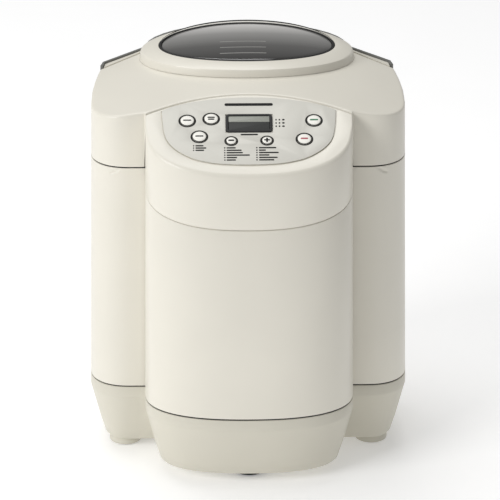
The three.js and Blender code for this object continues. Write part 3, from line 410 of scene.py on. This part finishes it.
def oval(rx, rf, rr, h, n=144):
    out = []
    for i in range(n):
        a = 2 * math.pi * i / n
        x, y = rx * math.cos(a), WY + (rr if math.sin(a) > 0 else rf) * math.sin(a)
        out.append((x, y, surf(x, y) + h))
    return out
put(soften(skin('window_ring_fine', [oval(96.4, 66.2, 58, 0.3), oval(95.1, 65.6, 56.9, 5.9), oval(94.6, 65.2, 56.3, 6.9), oval(93.4, 64.2, 55.6, 7.35), oval(86.5, 58.2, 53.4, 8.35), oval(80.2, 52.6, 52, 9.2), oval(79.1, 51.6, 51.6, 9.1), oval(79.1, 51.6, 51.6, 3.4), oval(74, 46.5, 46.5, 3.4), oval(74, 46.5, 46.5, 0.3)], True), 0), 'shell', 'shell', 'lid', 'window_ring')
put(soften(skin('window_gasket_fine', [oval(78.7, 51.2, 51.2, 3.8), oval(78.7, 51.2, 51.2, 9.1), oval(78.2, 50.7, 50.7, 9.5), oval(76.9, 49.4, 49.4, 9.5), oval(76.4, 48.9, 48.9, 9.1), oval(76.4, 48.9, 48.9, 3.8)], True), 0), 'rubber', 'rubber', 'lid', 'window_gasket')
# Window base colour ramps from dark at the front to near white at the rear: painted reflection of the light on the
# glass.
g = M['smoked_glass'].node_tree; gn, gl = g.nodes, g.links
tc = gn.new('ShaderNodeTexCoord'); sx = gn.new('ShaderNodeSeparateXYZ'); mr = gn.new('ShaderNodeMapRange'); cr = gn.new('ShaderNodeValToRGB')
gl.new(tc.outputs['Object'], sx.inputs['Vector']); gl.new(sx.outputs['Y'], mr.inputs['Value'])
mr.inputs['From Min'].default_value = 0.004; mr.inputs['From Max'].default_value = 0.102; gl.new(mr.outputs['Result'], cr.inputs['Fac'])
cr.color_ramp.elements[0].color = lin((44, 43, 42)); cr.color_ramp.elements[1].color = lin((252, 250, 247))
for pos, col in ((0.35, (84, 83, 81)), (0.66, (150, 149, 146)), (0.84, (206, 204, 201))):
    cr.color_ramp.elements.new(pos).color = lin(col)
gl.new(cr.outputs['Color'], gn['Principled BSDF'].inputs['Base Color'])
put(soften(skin('window_lens_fine', [oval(50, 32, 32, 6.6), oval(76, 48.5, 48.5, 5), oval(76, 48.5, 48.5, 8.3), oval(75.3, 48, 48, 8.7)] + [oval(a, a * 0.636, a * 0.636, h) for a, h in ((70, 9.0), (62, 9.25), (50, 9.5), (38, 9.65), (26, 9.75), (14, 9.82), (4, 9.85))]), 0), 'smoked_glass', 'smoked_glass', 'lid', 'window_lens')

def crescent(rx, rr, h, n=144):        # lies in the gasket at the front and spreads over the ring at the rear
    out = []
    for i in range(n):
        a = 2 * math.pi * i / n
        w = max(0.0, math.sin(a)); w = w * w * (3 - 2 * w)
        x, y = (78.3 + (rx - 78.3) * min(1.0, 3 * w)) * math.cos(a), WY + (50.9 + (rr - 50.9) * w) * math.sin(a)
        out.append((x, y, surf(x, y) + 9.0 + (h - 9.0) * w))
    return out
# Light band around the rear of the lens: a raised lip whose white colour is painted highlight on the lens's rounded
# edge.
put(soften(skin('window_rear_painted_highlight', [crescent(79, 51.5, 8), crescent(79, 51.5, 9.25), crescent(79.6, 56.2, 9.2), crescent(79.6, 56.2, 6.8)], True), 0), 'light', 'light', 'lid')
# Black strip over the ring at the rear: gasket line plus painted shade of the gap between ring and lens.
put(soften(skin('window_rear_gasket_and_shade_line', [crescent(79.6, 55.9, 7), crescent(79.6, 55.9, 10.1), crescent(80, 57.2, 10), crescent(80, 57.2, 6.8)], True), 0), 'rubber', 'rubber', 'lid')
def lens_line(x0, x1, y, w=0.8):
    n = 24
    row = lambda yy, h: [(x0 + (x1 - x0) * i / n, yy, surf(x0 + (x1 - x0) * i / n, yy) + h) for i in range(n + 1)]
    top = lambda yy: [(x, q, z) for x, q, z in row(yy, 0)]
    table = ((0, 9.86), (0.184, 9.82), (0.342, 9.75), (0.5, 9.65), (0.658, 9.5), (0.816, 9.25), (0.92, 9.0), (0.99, 8.7), (1.2, 8.2))
    def lift(x, yy):
        e = math.hypot(x / 76, (yy - WY) / 48.4)
        for (e0, h0), (e1, h1) in zip(table, table[1:]):
            if e <= e1:
                return h0 + (h1 - h0) * (e - e0) / (e1 - e0)
        return 8.2
    a = [(x, y - w, z + lift(x, y) - 0.05) for x, _, z in row(y - w, 0)]
    b = [(x, y + w, z + lift(x, y) - 0.05) for x, _, z in row(y + w, 0)]
    c_ = [(x, y, z + lift(x, y) + 0.12) for x, _, z in row(y, 0)]
    loops = [[a[i], c_[i], b[i]] for i in range(n + 1)]
    return skin('p', loops)
# Raised moulded lines on the lens, coloured light grey as painted highlight where their edges catch the light.
put(soften(merge('window_moulded_lines', [lens_line(-24.2, 16.8, y - 4) for y in (51, 37, 23.9)]), 0), 'glass_line_painted_highlight', 'smoked_glass', 'lid')

# ---------------------------------------------------------------- feet
# Side and rear feet use the darker cream copy, painted shade; the front foot body is drawn dark all over with the
# rubber material.
for n, x, y in (('left', -111.5, -32), ('right', 111.5, -32), ('front', 0, -96.4), ('rear', 0, 98)):
    put(soften(lathe(f'foot_{n}_fine', [(0, 3.3), (10.7, 3.3), (10.7, 1.5), (11.0, 1.3), (13.6, 1.3), (14.2, 1.6), (14.5, 2.1), (14.6, 2.8), (14.6, 8.7), (0, 8.7)], 56, x, y), 0), 'rubber' if n == 'front' else 'shell_painted_shade', 'rubber' if n == 'front' else 'light', 'housing', f'foot_{n}')
    put(soften(lathe(f'foot_pad_{n}_fine', [(0, 0), (9.6, 0), (10.1, 0.3), (10.3, 0.8), (10.3, 3), (0, 3)], 48, x, y), 0), 'rubber', 'rubber', 'housing', f'foot_pad_{n}')

# ---------------------------------------------------------------- inside
def tube(name, pts, rad, sides=16):
    rings, up = [], Vector((0, 0, 1))
    P = [Vector(p) for p in pts]
    for i, q in enumerate(P):
        t = (P[min(i + 1, len(P) - 1)] - P[max(i - 1, 0)]).normalized()
        u = up.cross(t).normalized(); v = t.cross(u)
        rings.append([tuple(q + (u * math.cos(2 * math.pi * k / sides) + v * math.sin(2 * math.pi * k / sides)) * rad) for k in range(sides)])
    return skin(name, rings)
def dense3(pts, n):
    out = []
    for i in range(len(pts) - 1):
        a, b, c_, d = pts[max(0, i - 1)], pts[i], pts[i + 1], pts[min(len(pts) - 1, i + 2)]
        for k in range(n):
            t = k / n
            out.append(tuple(0.5 * (2 * b[j] + (c_[j] - a[j]) * t + (2 * a[j] - 5 * b[j] + 4 * c_[j] - d[j]) * t * t + (3 * b[j] - a[j] - 3 * c_[j] + d[j]) * t ** 3) for j in range(3)))
    return out + [pts[-1]]
chamber = lathe('baking_chamber_fine', [(9, 74), (84, 74), (86.2, 74.9), (87, 77), (87, 269.8), (93, 269.8), (93, 271), (86.6, 271), (86, 270.4), (86, 77.4), (85.3, 75.7), (83.6, 75.1), (9, 75.1)], 128, 0, PAN_Y)
hole = lambda x, z, rr: lathe('cutter', [(0, -11), (rr, -11), (rr, 15), (0, 15)], 32, matrix=Matrix.Translation((x / 1000, -0.049, z / 1000)) @ Matrix.Rotation(math.radians(-90), 4, 'X'))
put(soften(carve(chamber, hole(-14, 98, 4), hole(14, 98, 4), hole(36, 130, 3.6)), 0), 'aluminium', 'aluminium', 'housing', 'baking_chamber')
pts = [(-14, -57, 98), (-14, -46, 98), (-16.5, -40.5, 98)]
pts += [(77.5 * math.cos(t), PAN_Y + 77.5 * math.sin(t), 98) for t in (math.radians(-107 - i * 326 / 48) for i in range(49))]
pts += [(16.5, -40.5, 98), (14, -46, 98), (14, -57, 98)]
put(soften(tube('heating_element_fine', dense3(pts, 3), 3.2), 0), 'heater', 'heater', 'housing', 'heating_element')
pan = lathe('bread_pan_fine', [(4.5, 92.4), (39.6, 92.4), (39.6, 84.6), (41.8, 84.6), (41.8, 92.4), (58.5, 92.4), (60.9, 93.4), (62, 96), (64.8, 221), (65.4, 222.4), (66.6, 223), (67.2, 223.8), (67.2, 225.2), (66.5, 226), (64.9, 226), (64.2, 225.2), (63.4, 222), (60.6, 97.6), (59.6, 95.3), (57.5, 94.4), (4.5, 94.4)], 128, 0, PAN_Y)
put(soften(pan, 0), 'nonstick', 'nonstick', 'pan', 'bread_pan')
ears = []
for sgn in (-1, 1):
    xs = sorted((sgn * 63.9, sgn * 70.4)); prof = rrect(PAN_Y - 6.5, 192, PAN_Y + 6.5, 207, 4, 8)
    e = skin('p', [[(xs[0], yy, zz) for yy, zz in prof], [(xs[1], yy, zz) for yy, zz in prof]])
    cx = sorted((sgn * 67.4, sgn * 80))
    cc = skin('cutter', [[(X, PAN_Y + 2.5 * math.cos(t), 200 + 2.5 * math.sin(t)) for t in (2 * math.pi * i / 32 for i in range(32))] for X in cx])
    ears.append(soften(carve(e, cc), 0.4))
    lx = sorted((sgn * 41.6, sgn * 45.6))
    ears.append(soften(boxm(lx[0], PAN_Y - 5, 84.8, lx[1], PAN_Y + 5, 88), 0.4))
put(merge('pan_ears_and_lugs', ears), 'nonstick', 'nonstick', 'pan')
h = [(-67.8, PAN_Y, 200), (-70.6, PAN_Y, 200), (-72.4, PAN_Y + 0.2, 200), (-73.9, PAN_Y + 1.8, 200)]
h += [(74.5 * math.cos(t), PAN_Y + 74.5 * math.sin(t), 200) for t in (math.pi - i * math.pi / 48 for i in range(2, 47))]
h += [(73.9, PAN_Y + 1.8, 200), (72.4, PAN_Y + 0.2, 200), (70.6, PAN_Y, 200), (67.8, PAN_Y, 200)]
put(soften(tube('pan_handle_fine', dense3(h, 2), 1.95), 0), 'steel', 'steel', 'handle', 'pan_handle')
blade = smooth_path([(5.5, -3), (16, -2.9), (26, -2.5), (32, -1.4), (34, 0), (32, 1.4), (26, 2.5), (16, 2.9), (5.5, 3)], 5)
bl = soften(skin('p', [[(x, y * 1.0 + PAN_Y, 96) for x, y in blade], [(x, y * 0.92 + PAN_Y, 106) for x, y in blade], [(5.5 + (x - 5.5) * 0.8, y * 0.5 + PAN_Y, 115.9 - max(0, x - 10) * 0.2) for x, y in blade]]), 0.8, 3)
hub = soften(lathe('p', [(4.4, 95.3), (8.9, 95.3), (9.5, 96), (9.2, 99), (7.3, 110), (6.2, 111.6), (4.5, 112), (0, 112), (0, 108.4), (4.4, 108.4)], 64, 0, PAN_Y), 0)
put(merge('kneading_paddle_fine', [hub, bl]), 'nonstick', 'nonstick', 'paddle', 'kneading_paddle')
e = inset(outline_body, WALL + 0.5)
e = [dent((x * K(274), y * K(274), 277.7))[:2] for x, y in e]
m = [(89.4 * math.cos(t), PAN_Y + 89.4 * math.sin(t)) for t in (math.atan2(y - PAN_Y, x) for x, y in e)]
deck = skin('top_deck_fine', [[(x, y, 271.4) for x, y in e], [(x, y, 274) for x, y in e], [(x * 0.998, y * 0.998, 274.4) for x, y in e], [(PAN_X + (x - PAN_X) * 1.008, y, 274.4) for PAN_X, (x, y) in ((0, q) for q in m)], [(x, y, 273.9) for x, y in m], [(x, y, 271.4) for x, y in m]], True)
put(soften(deck, 0), 'shell', 'shell', 'housing', 'top_deck')
lo = []
for i in range(144):
    t = 2 * math.pi * i / 144; cc, ss = math.cos(t), math.sin(t)
    rr = 1 / (abs(cc / 100) ** 2.6 + abs(ss / (66 if ss > 0 else 70)) ** 2.6) ** (1 / 2.6)
    lo.append((rr * cc, 35 + rr * ss))
def lel(rx, ry, yc):
    return [(rx * math.cos(t), yc + ry * math.sin(t)) for t in (math.atan2((y - 35) / 68, x / 100) for x, y in lo)]
flat = lambda q, z: [(x, y, z) for x, y in q]
up_ = lambda q: [(x, y, surf(x, y) - 3.1) for x, y in q]
put(soften(skin('lid_liner_fine', [flat(lo, 284.6), flat(lo, 286), flat(inset(lo, 0.5), 286.4), flat(lel(72.4, 46, 44), 286.4), up_(lel(72.4, 46.4, WY)), up_(lel(70.4, 44.4, WY)), flat(lel(70.4, 44, 44), 285), flat(lel(70.9, 44.5, 44), 284.3), flat(lel(72, 45.4, 44), 284), flat(inset(lo, 0.6), 284)], True), 0), 'aluminium', 'aluminium', 'lid', 'lid_liner')

# ---------------------------------------------------------------- floor, light, camera
floor = skin('floor', [[(-6000, -6000, -6), (6000, -6000, -6), (6000, 6000, -6), (-6000, 6000, -6)], [(-6000, -6000, 0), (6000, -6000, 0), (6000, 6000, 0), (-6000, 6000, 0)]])
paper = material('floor_paper', (250, 250, 250), 0.8, vary=0.004, grain=40, bump=0.01)
paper.node_tree.nodes['Principled BSDF'].inputs['Emission Color'].default_value = (1, 1, 1, 1)
paper.node_tree.nodes['Principled BSDF'].inputs['Emission Strength'].default_value = 0.25
floor.data.materials.append(paper)
w = bpy.data.worlds.new('studio'); bpy.context.scene.world = w; w.use_nodes = True
w.node_tree.nodes['Background'].inputs['Color'].default_value = (1, 1, 1, 1)
w.node_tree.nodes['Background'].inputs['Strength'].default_value = 0.3
def area(name, loc, target, size, power):
    d = bpy.data.lights.new(name, 'AREA'); d.size = size; d.energy = power
    o = bpy.data.objects.new(name, d); bpy.context.scene.collection.objects.link(o)
    o.location = loc
    o.rotation_euler = (Vector(target) - Vector(loc)).to_track_quat('-Z', 'Y').to_euler()
area('key', (-2.2, -1.7, 1.5), (0, 0, 0.2), 1.4, 44)
area('top', (-0.3, 0.6, 2.6), (0, 0, 0.3), 1.8, 32)
cam = bpy.data.cameras.new('camera'); co = bpy.data.objects.new('camera', cam)
bpy.context.scene.collection.objects.link(co); bpy.context.scene.camera = co
co.location = (-0.0458, -2.9913, 1.44547)
co.rotation_euler = (math.radians(90 - 23.0498), 0, math.radians(-0.9))
cam.sensor_width = 36; cam.lens = 259.99; cam.shift_x = 0.002
bpy.context.scene.view_settings.view_transform = 'Standard'
